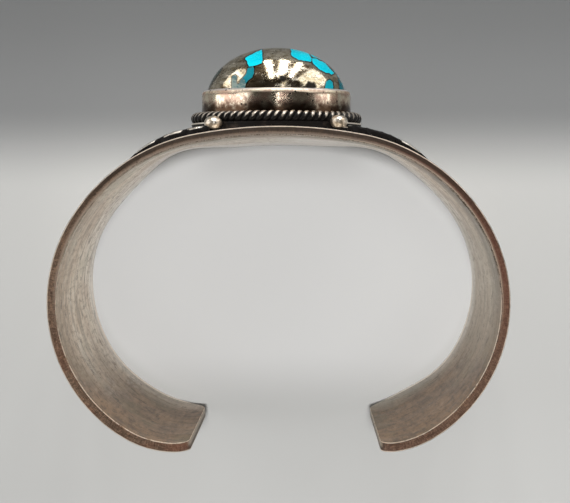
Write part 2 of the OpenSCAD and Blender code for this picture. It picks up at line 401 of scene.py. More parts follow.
greyed = times(tree, ramp(tree, depth, 0.6, 0.9, 0.1, 0.4), ramp(tree, from_middle, 30.0, 10.0))
brown = blend(tree, greyed, brown, paint(118, 110, 102))
right_front = times(tree, ramp(tree, along, -2.0, -12.0), ramp(tree, from_middle, 52.0, 40.0))
wavering = sums(tree, "ADD", depth, times(tree, grain(tree, place, (0.3, 0.3, 0.3), 2.0), 0.16))
bevel_line = times(tree, ramp(tree, wavering, 1.0, 1.08), ramp(tree, wavering, 1.22, 1.14, 0.0, 0.35))
brown = blend(tree, times(tree, bevel_line, right_front), brown, paint(190, 172, 152))
colour = blend(tree, rim, inner, brown)
pitted = ramp(tree, grain(tree, place, (4.2, 1.4, 1.4), 2.0, 0.6, 3.0), 0.49, 0.56)
crease = times(tree, ramp(tree, wavering, 1.12, 1.17), ramp(tree, wavering, 1.33, 1.28))
crease = times(tree, times(tree, crease, pitted), ramp(tree, along, 30.0, 12.0))
specks = times(tree, specks, sums(tree, "MULTIPLY_ADD", outside, -0.4, 0.6))
dark = sums(tree, "MAXIMUM", specks, times(tree, crease, 0.7))
colour = blend(tree, dark, colour, paint(50, 42, 36))
# The end faces are painted dark on their outer part as painted shade, and pale towards the inside as the worn
# inner edge with a painted highlight
to_face = sums(tree, "SUBTRACT", from_middle, ramp(tree, along, -1.0, 1.0, RIGHT_FACE, LEFT_FACE))
cut_end = times(tree, ramp(tree, to_face, -0.4, 0.0, 0.0, 0.8), rim)
end_tone = blend(tree, ramp(tree, depth, 0.35, 0.85), paint(48, 37, 29), paint(176, 164, 146))
colour = blend(tree, cut_end, colour, end_tone)
# Painted highlights: the rounded low corners of the ends, and a line on the far rim's inner edge towards the
# ends, are painted pale
low_corner = times(tree, ramp(tree, to_face, -6.6, -5.0), ramp(tree, height, 8.0, 6.0, 0.0, 0.75))
colour = blend(tree, times(tree, low_corner, rim), colour, paint(190, 178, 162))
far_line = times(tree, ramp(tree, height, 1.7, 1.0), ramp(tree, depth, 1.0, 1.1))
far_line = times(tree, far_line, ramp(tree, from_middle, 36.0, 54.0))
colour = blend(tree, far_line, colour, paint(255, 246, 236))
# The rims' edges are paler where rubbed, and also carry painted highlights: the outer edge most at the front,
# the inner edge most towards the ends
inner_edge = times(tree, ramp(tree, depth, 1.16, 1.2), ramp(tree, depth, 1.3, 1.29))
outer_edge = times(tree, ramp(tree, depth, 0.14, 0.09), ramp(tree, depth, 0.0, 0.02))
outer_edge = times(tree, outer_edge, ramp(tree, along, 38.0, 30.0, 0.25, 1.0))
rubbed = ramp(tree, grain(tree, place, (0.4, 0.4, 0.4), 5.0, 0.7, 23.0), 0.36, 0.56)
rubbed = sums(tree, "MAXIMUM", rubbed, ramp(tree, from_middle, 27.0, 20.0))
inner_edge = times(tree, inner_edge, ramp(tree, from_middle, 30.0, 50.0, 0.4, 1.0))
worn_and_highlit_edge = times(tree, sums(tree, "MAXIMUM", inner_edge, outer_edge), rubbed)
colour = blend(tree, worn_and_highlit_edge, colour, paint(252, 236, 218))
tree.links.new(colour, shader.inputs["Base Color"])
covered = sums(tree, "MAXIMUM", times(tree, rim, 0.55), times(tree, to_ends, 0.5))
bare = sums(tree, "MAXIMUM", sums(tree, "SUBTRACT", 1.0, covered), worn_and_highlit_edge)
tree.links.new(bare, shader.inputs["Metallic"])
rough = sums(tree, "ADD", ramp(tree, streaks, 0.3, 0.7, 0.42, 0.28), times(tree, to_ends, 0.1))
tree.links.new(sums(tree, "ADD", rough, times(tree, worn_and_highlit_edge, 0.2)), shader.inputs["Roughness"])
shader.inputs["Specular Tint"].default_value = paint(246, 238, 230)
relief = sums(tree, "ADD", times(tree, streaks, 0.8), times(tree, file_marks, rim))
relief = sums(tree, "ADD", relief, times(tree, mottling, 0.8))
relief = sums(tree, "ADD", relief, times(tree, lines, 0.5))
relief = times(tree, relief, sums(tree, "MULTIPLY_ADD", outside, -0.8, 1.0))
relief = sums(tree, "SUBTRACT", sums(tree, "SUBTRACT", relief, times(tree, scored, 0.4)), dark)
stand_up(tree, shader, relief, 0.45, 0.05 * MM)
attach(band, "root")
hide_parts("cuff_band")


# Side plates
# Two plates of thicker silver with chased scalloped edges and a pointed leaf, bent to the band and soldered
# beside the stone. Their walls and grooves are black with sulphur, and their tops are worn bright. The outer
# edges of some lobes are painted brighter as highlights, and those of the others darker as shade.
# Lengths here are in mm, and THINNED_BY and RING_AT are shares.
PLATE = 1.0
PLATE_FOOT = -0.1
PLATE_WALL = 0.8
# How far in and how far up each step of the rounded edge goes
PLATE_ROUNDING = ((0.08, 0.12), (0.14, 0.1), (0.2, 0.08))
PLATE_TIP = 21
THIN_TIP, THINNED_BY = 20.6, 0.9
CUT_PITCH = 0.4
LEAF_HALF = 12
LEAF_W = 7.5
LEAF_R = (LEAF_HALF ** 2 + LEAF_W ** 2) / (2 * LEAF_W)
LEAF_CENTRES = [Vector((PLATE_TIP - LEAF_HALF, sign * (LEAF_R - LEAF_W))) for sign in (-1, 1)]
LEAF_RISE, LEAF_SLOPE = 0.12, 1.5
GROOVE_DEPTH, GROOVE_HALF = 0.28, 0.3
FLUTES, FLUTE_DEPTH = 9, 0.14
RING_AT, RING_DEPTH, RING_HALF = 0.55, 0.2, 0.18
# Each lobe is a part of a circle: its middle along the band and across it, and its radius
LOBES = ((11.3, 16, 1.9), (14.3, 15.6, 2.3), (18, 15.4, 2.5), (18.6, 10.6, 2.4), (18.9, 6.2, 2.3))
HALF_GROUND = ((7.2, 9.8), (10.2, 9.8), (11.2, 14.2), (17.8, 14.2), (19.2, 8))
PLATE_GROUND = [(x, -z) for x, z in HALF_GROUND] + [(x, z) for x, z in reversed(HALF_GROUND)]
SETTING_X = 0.6
BEZEL_A = 10.93
BEZEL_B = 8
WIRE_D = 1.66
WIRE_OFF = WIRE_D / 2 - 0.04
FOOT_OFF = WIRE_OFF + WIRE_D / 2 - 0.1
CUT_OFF = FOOT_OFF + 0.05


def oval_at(angle, off):
    """A point on the curve that lies off (mm) outside the bezel's oval, from the middle of the setting."""
    outward = Vector((BEZEL_B * math.cos(angle), BEZEL_A * math.sin(angle))).normalized()
    return Vector((BEZEL_A * math.cos(angle), BEZEL_B * math.sin(angle))) + off * outward


def on_band(x, lift):
    """Y at distance x from the middle on a surface that lies lift above the outer face of the band."""
    joint = (FRONT_R + lift) * math.sin(FRONT_HALF)
    if abs(x) <= joint:
        return front_centre.y - math.sqrt((FRONT_R + lift) ** 2 - x * x)
    return shoulder_centre.y - math.sqrt((SHOULDER_R + lift) ** 2 - (abs(x) - shoulder_centre.x) ** 2)


def ray_through_circle(start, ray, middle, radius):
    """How far along a ray it enters and leaves a circle, or None where it misses."""
    arm = Vector(middle) - start
    nearest = arm.dot(ray)
    square = radius ** 2 - (arm.length_squared - nearest ** 2)
    if square <= 0:
        return None
    return nearest - math.sqrt(square), nearest + math.sqrt(square)


def ray_through_ground(start, ray):
    """How far along a ray it enters and leaves the plate's plain ground, or None where it misses."""
    low, high = 0, 1000
    corners = [Vector(corner) for corner in PLATE_GROUND]
    for first, second in zip(corners, corners[1:] + corners[:1]):
        inward = Vector((first.y - second.y, second.x - first.x))
        speed = ray.dot(inward)
        room = (first - start).dot(inward)
        if abs(speed) < 1e-9:
            continue
        if speed > 0:
            low = max(low, room / speed)
        else:
            high = min(high, room / speed)
    return (low, high) if low < high else None


def plate_outline(side):
    """A plate's outline before it is bent: the edges of its lobes, ground and leaf, up to the setting."""
    start = Vector((side * SETTING_X, 0))
    outer = []
    inner = []
    for angle in range(-80, 81):
        edge = oval_at(math.radians(angle), CUT_OFF)
        ray = edge.normalized()
        crossings = [
            ray_through_circle(start, ray, (x, sign * z), radius)
            for x, z, radius in LOBES for sign in (-1, 1)
        ]
        crossings.append(ray_through_ground(start, ray))
        leaf = [ray_through_circle(start, ray, centre, LEAF_R) for centre in LEAF_CENTRES]
        if all(leaf):
            crossings.append((max(leaf[0][0], leaf[1][0]), min(leaf[0][1], leaf[1][1])))
        crossings = [crossing for crossing in crossings if crossing and crossing[1] > edge.length]
        if not crossings:
            continue
        nearest = max(edge.length, min(crossing[0] for crossing in crossings))
        farthest = max(crossing[1] for crossing in crossings)
        if farthest - nearest < 0.1:
            continue
        outer.append(start + ray * farthest)
        inner.append(start + ray * nearest)
    return outer + inner[::-1]


def leaf_depth(x, z):
    """How far (mm) a place on the plate lies inside the edge of the pointed leaf."""
    return LEAF_R - max((centre - Vector((x, z))).length for centre in LEAF_CENTRES)


def chased(x, z):
    """Lift (mm) of the chased work: a raised leaf with a groove round it, and fluted lobes."""
    inside = leaf_depth(x, z)
    groove = -GROOVE_DEPTH * math.exp(-(inside / GROOVE_HALF) ** 2)
    leaf = LEAF_RISE * min(1, max(0, inside) / LEAF_SLOPE)
    flutes = 0
    for lobe_x, lobe_z, radius in LOBES:
        arm = Vector((x - lobe_x, abs(z) - lobe_z))
        if inside < 0 and arm.length < radius + 0.5:
            turn = math.atan2(arm.y, arm.x)
            wave = 0.5 + 0.5 * math.cos(FLUTES * turn)
            flutes = min(flutes, -FLUTE_DEPTH * wave * min(1, arm.length / radius))
            flutes = min(flutes, -RING_DEPTH * math.exp(-((arm.length - RING_AT * radius) / RING_HALF) ** 2))
    return groove + leaf + flutes


def lobe_light_and_shade(x, z, highlit_lobes):
    """1 on the outer edges of the lobes painted with a highlight, 0 on those painted with shade, and a half
    elsewhere.
    """
    for number, (lobe_x, lobe_z, radius) in enumerate(LOBES):
        arm = Vector((x - lobe_x, abs(z) - lobe_z))
        if RING_AT * radius < arm.length < 1.1 * radius and arm.y > 0.3 * radius:
            edge_on = abs(arm.x) < 0.55 * radius
            return 1 if number in highlit_lobes and edge_on else 0
    return 0.5


for side, plate_name, highlit_lobes, thin_from, thinning in (
    (1, "side_plate_left", (0, 1, 2), 13.5, 2.0), (-1, "side_plate_right", (2,), 10.0, 3.2)
):
    outline = plate_outline(side)
    bpy.ops.object.select_all(action="DESELECT")
    bpy.ops.mesh.primitive_circle_add(vertices=len(outline), radius=1, fill_type="NGON")
    plate = bpy.context.object
    plate.name = plate_name
    plate.data.name = plate_name
    for vertex, corner in zip(plate.data.vertices, outline):
        vertex.co = (corner.x, corner.y, PLATE_FOOT)
    bpy.ops.object.mode_set(mode="EDIT")
    bpy.ops.mesh.select_all(action="SELECT")
    bpy.ops.mesh.remove_doubles(threshold=0.05)
    bpy.ops.mesh.extrude_region_move(TRANSFORM_OT_translate={"value": (0, 0, PLATE_WALL)})
    for reach, lift in PLATE_ROUNDING:
        bpy.ops.mesh.inset(thickness=reach, depth=lift, use_boundary=True, use_even_offset=True)
    cuts = [((cut * CUT_PITCH, 0, 0), (1, 0, 0)) for cut in range(18, 53)]
    cuts += [((0, cut * CUT_PITCH, 0), (0, 1, 0)) for cut in range(-40, 41)]
    for cut_at, cut_across in cuts:
        bpy.ops.mesh.select_all(action="SELECT")
        bpy.ops.mesh.bisect(plane_co=cut_at, plane_no=cut_across)
    turn_faces_out()
    # The material reads each point's lift, with the chased work made stronger, and with painted highlights
    # and shade on the lobes' outer edges
    lifts = []
    for vertex in plate.data.vertices:
        x, z, lift = vertex.co
        worked = chased(x, z) * (lift > 0.95 * PLATE)
        lifts.append(lift + 2 * worked + 0.35 * (lobe_light_and_shade(x, z, highlit_lobes) - 0.5))
        thinned = min(1, max(0, (x - thin_from) / (THIN_TIP - thin_from))) ** thinning
        lift = min(PLATE, lift + worked) * (1 - THINNED_BY * thinned)
        vertex.co = sprung(Vector((side * x * MM, on_band(x * MM, lift * MM), BAND_WIDTH / 2 + z * MM)))
    keep(plate.data, "plate_lift", lifts)
    turn_faces_out()
    bpy.ops.object.shade_smooth_by_angle(angle=math.radians(50))
    tree, shader = finish_tree(plate, "oxidised_plate")
    lift = step(tree, "Attribute", {}, attribute_name="plate_lift").outputs["Fac"]
    place = step(tree, "TexCoord", {}).outputs["Object"]
    rubbing = grain(tree, place, (900.0, 900.0, 900.0), 4.0, 0.65)
    # Silver where the top is rubbed or a lobe's edge is painted with a highlight, black elsewhere
    wear_and_highlight = ramp(tree, sums(tree, "ADD", lift, times(tree, rubbing, 0.25)), 0.92, 1.04)
    silver = blend(tree, rubbing, paint(232, 226, 216), paint(190, 180, 166))
    tree.links.new(blend(tree, wear_and_highlight, paint(18, 16, 15), silver), shader.inputs["Base Color"])
    tree.links.new(ramp(tree, wear_and_highlight, 0.0, 1.0, 0.2, 1.0), shader.inputs["Metallic"])
    tree.links.new(ramp(tree, rubbing, 0.3, 0.7, 0.24, 0.42), shader.inputs["Roughness"])
    shader.inputs["Specular IOR Level"].default_value = 0.15
    stand_up(tree, shader, rubbing, 0.3, 0.05 * MM)
    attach(plate, "root")
    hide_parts("cuff_band")


# Drops
# Scraps of silver melted into balls and soldered on the side plates, close to the twisted wire. They slumped
# a little as the solder ran, and are worn bright on top.
DROP_R = 1.15
DROP_LIFT = PLATE + 0.65
DROP_AT = math.radians(47)
DROP_GAP = 0.05
DROP_HEIGHT, DROP_DEPTH, DROP_FOOT = 0.84, 1.04, 1.12
drop_spot = oval_at(DROP_AT, WIRE_OFF + WIRE_D / 2 + DROP_GAP + DROP_R)
for drop_name, side_x, side_z, long, shift in (
    ("drop_near_left", 1, 1, 1.14, -0.25), ("drop_near_right", -1, 1, 1.08, 0),
    ("drop_far_left", 1, -1, 1.04, 0), ("drop_far_right", -1, -1, 1.08, 0),
):
    x = (SETTING_X + side_x * drop_spot.x + shift) * MM
    middle = Vector((x, on_band(x, DROP_LIFT * MM), BAND_WIDTH / 2 + side_z * drop_spot.y * MM))
    bpy.ops.object.select_all(action="DESELECT")
    bpy.ops.mesh.primitive_uv_sphere_add(
        segments=40, ring_count=24, radius=DROP_R * MM, location=middle, rotation=(math.radians(90), 0, 0)
    )
    drop = bpy.context.object
    drop.name = drop_name
    drop.data.name = drop_name
    bpy.ops.object.transform_apply(location=True, rotation=True, scale=True)
    bpy.ops.object.mode_set(mode="EDIT")
    bpy.ops.mesh.select_all(action="SELECT")
    bpy.ops.transform.resize(value=(long, DROP_HEIGHT, DROP_DEPTH), center_override=middle)
    select_only(drop, lambda co: co.y > middle.y + 0.55 * DROP_R * MM)
    bpy.ops.transform.resize(value=(DROP_FOOT, 1, DROP_FOOT), center_override=middle)
    bpy.ops.object.mode_set(mode="OBJECT")
    for vertex in drop.data.vertices:
        arm = vertex.co - middle
        slump = noise.noise(vertex.co / (1.1 * MM) + Vector((side_x * 3, 0, side_z))) * 0.05
        vertex.co = middle + arm * (1 + slump)
    bpy.ops.object.shade_smooth()
    tree, shader = finish_tree(drop, "melted_silver")
    place = step(tree, "TexCoord", {}).outputs["Object"]
    slag = grain(tree, place, (1500.0, 1500.0, 1500.0), 3.0, 0.6)
    holes = pits(tree, place, (1900.0, 1900.0, 1900.0), 0.24, 0.28)
    silver = blend(tree, ramp(tree, slag, 0.35, 0.65), paint(255, 246, 232), paint(206, 190, 168))
    tree.links.new(blend(tree, holes, silver, paint(40, 34, 30)), shader.inputs["Base Color"])
    shader.inputs["Metallic"].default_value = 1.0
    tree.links.new(ramp(tree, slag, 0.3, 0.7, 0.26, 0.42), shader.inputs["Roughness"])
    relief = sums(tree, "SUBTRACT", times(tree, slag, 0.5), holes)
    stand_up(tree, shader, relief, 0.4, 0.06 * MM)
    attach(drop, "root")
    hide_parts("cuff_band")


# Backing plate
# A flat oval of silver that carries the bezel and the twisted wire, on a foot that is filed to the curve of
# the band. Almost all that shows of it is black: blackened silver, and painted shade under the twisted wire.
# Its rubbed edge is painted bright at the far left and right, as a highlight.
BACKING_TOP = 1.1
MIDDLE = Vector((SETTING_X * MM, FRONT_Y, BAND_WIDTH / 2))


def over_band(point, lift):
    """A place over the front of the band, from a point round the setting's middle and a height, in mm."""
    return MIDDLE + Vector((point.x, -lift, point.y)) * MM


def ring_wall(name, rings):
    """A wall through rings of points: a circle is laid on the first, and extruded from each to the next."""
    sides = len(rings[0])
    bpy.ops.object.select_all(action="DESELECT")
    bpy.ops.mesh.primitive_circle_add(vertices=sides, radius=1)
    made = bpy.context.object
    made.name = name
    made.data.name = name
    for number, ring in enumerate(rings):
        bpy.ops.object.mode_set(mode="EDIT")
        if number:
            bpy.ops.mesh.extrude_region_move()
        else:
            bpy.ops.mesh.select_all(action="SELECT")
        bpy.ops.object.mode_set(mode="OBJECT")
        for vertex, spot in zip(made.data.vertices[number * sides:], ring):
            vertex.co = spot
    return made


def oval_rings(profile, sides):
    """Rings round the stone. A row of the profile: how far outside the bezel's oval, and how high (mm)."""
    angles = [math.tau * number / sides for number in range(sides)]
    return [[over_band(oval_at(angle, off), lift) for angle in angles] for off, lift in profile]


backing = ring_wall("backing_plate", oval_rings((
    (-3, -0.2), (FOOT_OFF - 0.05, -0.2), (FOOT_OFF - 0.05, 0.8), (FOOT_OFF, 0.84), (FOOT_OFF, 1.14),
    (FOOT_OFF - 0.06, BACKING_TOP), (-3, BACKING_TOP)
), 144))
bpy.ops.object.mode_set(mode="EDIT")
bpy.ops.mesh.edge_face_add()
bpy.ops.object.mode_set(mode="OBJECT")
for vertex in backing.data.vertices:
    if vertex.co.y > FRONT_Y + 0.1 * MM:
        vertex.co.y = on_band(vertex.co.x, 0.05 * MM)
turn_faces_out()
bpy.ops.object.shade_smooth_by_angle(angle=math.radians(40))
tree, shader = finish_tree(backing, "blackened_and_shaded_silver")
place = step(tree, "TexCoord", {}).outputs["Object"]
soot = grain(tree, place, (700.0, 700.0, 700.0), 4.0, 0.6)
place_x, place_y = step(tree, "SeparateXYZ", {0: place}).outputs[:2]
sideways = sums(tree, "ABSOLUTE", sums(tree, "SUBTRACT", place_x, SETTING_X * MM))
far_out = ramp(tree, sideways, 8.5 * MM, 10.8 * MM)
# Painted highlight on the rubbed edge at the far left and right
bright_edge = times(tree, ramp(tree, place_y, FRONT_Y - 0.9 * MM, FRONT_Y - 1.02 * MM), far_out)
# Black for blackening and grime, and as painted shade under the twisted wire
grime_and_shade = blend(tree, ramp(tree, soot, 0.55, 0.75), paint(15, 13, 12), paint(54, 46, 40))
tree.links.new(blend(tree, bright_edge, grime_and_shade, paint(236, 228, 214)), shader.inputs["Base Color"])
tree.links.new(bright_edge, shader.inputs["Metallic"])
shader.inputs["Specular IOR Level"].default_value = 0.15
tree.links.new(ramp(tree, soot, 0.3, 0.7, 0.35, 0.6), shader.inputs["Roughness"])
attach(backing, "root")
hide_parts("setting")


# Bezel
# A strip of fine silver bent to an oval round the stone, soldered end to end, and rubbed over the stone by
# hand. The wall has soft marks of the pusher, and is darker brown low down beside the twisted wire.
LIP = 6.0
MARK_DEPTH, MARK_LENGTH = 0.03, 2.6
WAVE_HEIGHT, WAVE_LENGTH = 0.06, 2.2
bezel = ring_wall("bezel", oval_rings((
    (-0.45, BACKING_TOP - 0.02), (0, BACKING_TOP - 0.02), (0.0, 1.6), (0.02, 2.2), (0.02, 2.8), (0.01, 3.4),
    (0.0, 4.0), (0.0, 4.6), (-0.01, 5.1), (-0.04, 5.4), (-0.1, 5.64), (-0.2, 5.81), (-0.35, 5.92),
    (-0.55, 5.98), (-0.75, LIP), (-0.85, 5.99), (-0.9, 5.93), (-0.88, 5.7), (-0.6, 4.6), (-0.45, 3.4)
), 160))
for vertex in bezel.data.vertices:
    lift = (FRONT_Y - vertex.co.y) / MM
    arm = vertex.co - MIDDLE
    arm.y = 0
    pushed = noise.noise(Vector((arm.x, lift * 0.5 * MM, arm.z)) / (MARK_LENGTH * MM)) * MARK_DEPTH
    vertex.co += arm.normalized() * pushed * MM * (2 < lift < 5.6)
    if lift > 5.2:
        vertex.co.y -= noise.noise(arm / (WAVE_LENGTH * MM)) * WAVE_HEIGHT * MM
turn_faces_out()
bpy.ops.object.shade_smooth_by_angle(angle=math.radians(50))
tree, shader = finish_tree(bezel, "rubbed_silver")
place = step(tree, "TexCoord", {}).outputs["Object"]
lift = sums(tree, "MULTIPLY_ADD", step(tree, "SeparateXYZ", {0: place}).outputs[1], -1000.0, FRONT_Y / MM)
tarnish = grain(tree, place, (700.0, 620.0, 700.0), 6.0, 0.7)
fine = grain(tree, place, (2600.0, 2600.0, 2600.0), 3.0, 0.6)
holes = pits(tree, place, (1700.0, 1700.0, 1700.0), 0.34, 0.3)
silver = blend(tree, ramp(tree, tarnish, 0.38, 0.6), paint(252, 240, 214), paint(206, 176, 156))
low_darkening = sums(tree, "ADD", ramp(tree, lift, 2.6, 5.4, 1.0, 0.0), times(tree, tarnish, 1.3))
silver = blend(tree, ramp(tree, low_darkening, 0.75, 1.6), silver, paint(66, 50, 38))
# Painted highlight: the lip is painted paler
silver = blend(tree, ramp(tree, lift, 5.6, 5.9), silver, paint(250, 242, 236))
tree.links.new(blend(tree, holes, silver, paint(36, 30, 26)), shader.inputs["Base Color"])
shader.inputs["Metallic"].default_value = 1.0
polish = sums(tree, "ADD", ramp(tree, tarnish, 0.3, 0.7, 0.12, 0.26), ramp(tree, lift, 5.2, 5.6, 0.0, 0.28))
tree.links.new(polish, shader.inputs["Roughness"])
relief = sums(tree, "SUBTRACT", times(tree, fine, 0.18), holes)
stand_up(tree, shader, relief, 0.16, 0.05 * MM)
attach(bezel, "root")
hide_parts("setting")


# Twisted wire
# Two round wires twisted tightly to the left, and laid round the foot of the bezel. The ridges are rubbed
# bright, with the bright part drawn to the side away from the band as a painted highlight where the light
# falls, and the grooves between the strands are black.
WIRE_TURNS = 32
WIRE_LIFT = BACKING_TOP + WIRE_D / 2 - 0.06
STEPS_A_TURN = 14
STRAND_R = WIRE_D / 4
TWIST_R = 0.95 * STRAND_R
WALK_STEPS = 2880
steps = WIRE_TURNS * STEPS_A_TURN
walk = [oval_at(math.tau * number / WALK_STEPS, WIRE_OFF) for number in range(WALK_STEPS + 1)]
run = [0]
for first, second in zip(walk, walk[1:]):
    run.append(run[-1] + (second - first).length)
stations = []
reached = 0
for number in range(steps):
    while run[reached] < run[-1] * number / steps:
        reached += 1
    stations.append(math.tau * reached / WALK_STEPS)
strand_curve = bpy.data.curves.new("twisted_wire", "CURVE")
strand_curve.dimensions = "3D"
strand_curve.bevel_depth = STRAND_R * 1.1 * MM
strand_curve.bevel_resolution = 4
strand_curve.use_fill_caps = False
for strand in (0, math.pi):
    spline = strand_curve.splines.new("POLY")
    spline.points.add(steps - 1)
    spline.use_cyclic_u = True
    for number, angle in enumerate(stations):
        centre_line = oval_at(angle, WIRE_OFF)
        outward = oval_at(angle, WIRE_OFF + 1) - centre_line
        twist = strand + math.tau * number / STEPS_A_TURN
        spot = centre_line + outward * (TWIST_R * math.cos(twist))
        spline.points[number].co = (*over_band(spot, WIRE_LIFT + TWIST_R * math.sin(twist)), 1)
wire = bpy.data.objects.new("twisted_wire", strand_curve)
bpy.context.scene.collection.objects.link(wire)
bpy.ops.object.select_all(action="DESELECT")
wire.select_set(True)
bpy.context.view_layer.objects.active = wire
bpy.ops.object.convert(target="MESH")
wire = bpy.context.object
wire.data.name = "twisted_wire"
# How far each point stands out from the middle of the twisted wire, by walking to the place nearest to it
NUDGE = 0.001
proud = []
for vertex in wire.data.vertices:
    arm = (vertex.co - MIDDLE) / MM
    flat = Vector((arm.x, arm.z))
    angle = math.atan2(flat.y / BEZEL_B, flat.x / BEZEL_A)
    for settling in range(4):
        guess = oval_at(angle, WIRE_OFF)
        along_wire = oval_at(angle + NUDGE, WIRE_OFF) - guess
        angle += NUDGE * (flat - guess).dot(along_wire) / along_wire.length_squared
    across_wire = (flat - oval_at(angle, WIRE_OFF)).length
    rise = -arm.y - WIRE_LIFT
    # The side away from the band counts as standing out more: a painted highlight where the light falls
    proud.append((math.hypot(across_wire, rise) + 0.09 * rise) / (WIRE_D / 2))
keep(wire.data, "proud", proud)
bpy.ops.object.shade_smooth()
tree, shader = finish_tree(wire, "blackened_twist")
ridge = step(tree, "Attribute", {}, attribute_name="proud").outputs["Fac"]
place = step(tree, "TexCoord", {}).outputs["Object"]
rubbing = grain(tree, place, (1300.0, 1300.0, 1300.0), 3.0, 0.6)
wear_and_highlight = ramp(tree, sums(tree, "MULTIPLY_ADD", rubbing, 0.14, ridge), 1.075, 1.12)
silver = blend(tree, rubbing, paint(236, 228, 216), paint(186, 172, 154))
tree.links.new(blend(tree, wear_and_highlight, paint(14, 12, 11), silver), shader.inputs["Base Color"])
tree.links.new(ramp(tree, wear_and_highlight, 0.0, 1.0, 0.1, 1.0), shader.inputs["Metallic"])
shader.inputs["Roughness"].default_value = 0.36
shader.inputs["Specular IOR Level"].default_value = 0.25
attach(wire, "root")
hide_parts("setting")


# Stone
# A high oval cabochon, ground and polished from rock in which chunks of turquoise lie in golden pyrite. The
# pyrite shines like a mirror and the turquoise has thin dark borders.
STONE_A = 10.43
STONE_B = 7.35
STONE_TOP = 12.3
STONE_FOOT = BACKING_TOP + 0.05
GIRDLE = 2.8
FULLNESS = 2.5
RINGS = 64
SIDES = 224


def across_stone(width, angle):
    """A point (mm) round the middle of the stone, on an oval that is a share of the stone's width."""
    return Vector((STONE_A * width * math.cos(angle), STONE_B * width * math.sin(angle)))


levels = [(1.0, STONE_FOOT), (1.0, GIRDLE)]
for ring in range(1, RINGS):
    rise = math.sin(math.radians(90 * ring / RINGS))
    levels.append((math.sqrt(1 - rise ** FULLNESS), GIRDLE + (STONE_TOP - GIRDLE) * rise))
stone = ring_wall("turquoise_stone", [
    [over_band(across_stone(width, math.tau * number / SIDES), lift) for number in range(SIDES)]
    for width, lift in levels
])
bpy.ops.object.mode_set(mode="EDIT")
bpy.ops.mesh.extrude_region_move()
bpy.ops.mesh.merge(type="CENTER")
bpy.ops.object.mode_set(mode="OBJECT")
stone.data.vertices[-1].co = over_band(Vector((0, 0)), STONE_TOP)
select_only(stone, lambda co: abs(FRONT_Y - co.y - STONE_FOOT * MM) < 0.01 * MM)
bpy.ops.mesh.edge_face_add()
turn_faces_out()
bpy.ops.object.shade_smooth_by_angle(angle=math.radians(50))

# The chunks that the photograph shows. A row: how vivid (1 bright, 0.1 deep, -0.3 milky, -0.6 olive, -0.9
# black) and the outline, in pixels of the photograph. Chunks low on the dome are given lower values, as
# painted shade. The rest of the dome has scattered chunks.
CHUNKS = (
    (1.0, ((245, 58), (252, 54), (262, 49), (262.6, 57), (262, 63.5), (255, 65.2), (249, 66.8), (247, 62))),
    (0.3, (
        (247.8, 67.4), (254.1, 67.4), (254.1, 73.2), (252.2, 77.6), (248.3, 80.5), (245.4, 84), (242, 84),
        (243, 77.6), (246.4, 74.2), (246.8, 70.8)
    )),
    (-0.3, (
        (231.6, 90), (231.7, 76.6), (235.2, 74.7), (236.9, 76.6), (236.3, 83), (237.6, 84.9), (240, 83.4),
        (240.5, 80), (243, 77.6), (247, 79), (245.4, 86), (245, 90)
    )),
    (-0.9, ((279.5, 76), (282, 75), (285.4, 77), (284, 81.5), (280.5, 80))),
    (-0.9, ((306, 85.5), (308.4, 81.6), (311, 83), (314, 82), (316.4, 86), (315, 90), (307, 90))),
    (1.0, ((290.5, 48), (299, 49), (307, 51.6), (311.4, 57.4), (311, 62.2), (298.5, 59.8), (291.6, 55.8))),
    (0.9, (
        (312.3, 58.2), (317, 59.2), (324.5, 63), (330.5, 68.5), (334, 73), (331.5, 74.6), (321, 70.4),
        (312.4, 63)
    )),
    (0.7, (
        (308, 50), (320, 52), (334, 60), (346, 76), (349, 90), (344.6, 90), (341, 81), (336.6, 74),
        (331, 67.4), (325, 62), (317, 58), (312.6, 56.8)
    )),
    (0.42, ((326, 82), (329.5, 79.3), (333, 82), (333.4, 90), (324.3, 90))),
    (0.15, ((338, 78), (339.5, 79), (342, 84), (343.4, 90), (340, 90))),
    (-0.6, ((204, 92), (209, 82), (216, 73), (222, 68), (219.6, 73), (214.6, 79), (210.6, 85), (208, 92))),
)
PICTURE_MIDDLE = (285, 251.5)
PIXELS_A_MM = 6.9
SCATTERED = 90
GOLDEN_ANGLE = 2.39996


def picture_place(co):
    """Where a point falls in the photograph."""
    arm = co - eye
    ahead = arm.dot(forward)
    return (
        PICTURE_MIDDLE[0] + FOCAL_PIXELS * arm.dot(right) / ahead,
        PICTURE_MIDDLE[1] - FOCAL_PIXELS * arm.dot(up) / ahead,
    )


def depth_in_outline(spot, outline):
    """How far a place lies inside an outline, below 0 outside it."""
    inside = False
    nearest = 1e9
    for first, second in zip(outline, outline[1:] + outline[:1]):
        side_x, side_y = second[0] - first[0], second[1] - first[1]
        arm_x, arm_y = spot[0] - first[0], spot[1] - first[1]
        part = (arm_x * side_x + arm_y * side_y) / (side_x * side_x + side_y * side_y)
        part = min(1, max(0, part))
        nearest = min(nearest, math.hypot(arm_x - part * side_x, arm_y - part * side_y))
        if (first[1] > spot[1]) != (second[1] > spot[1]):
            if spot[0] < first[0] + (spot[1] - first[1]) * side_x / side_y:
                inside = not inside
    return nearest if inside else -nearest


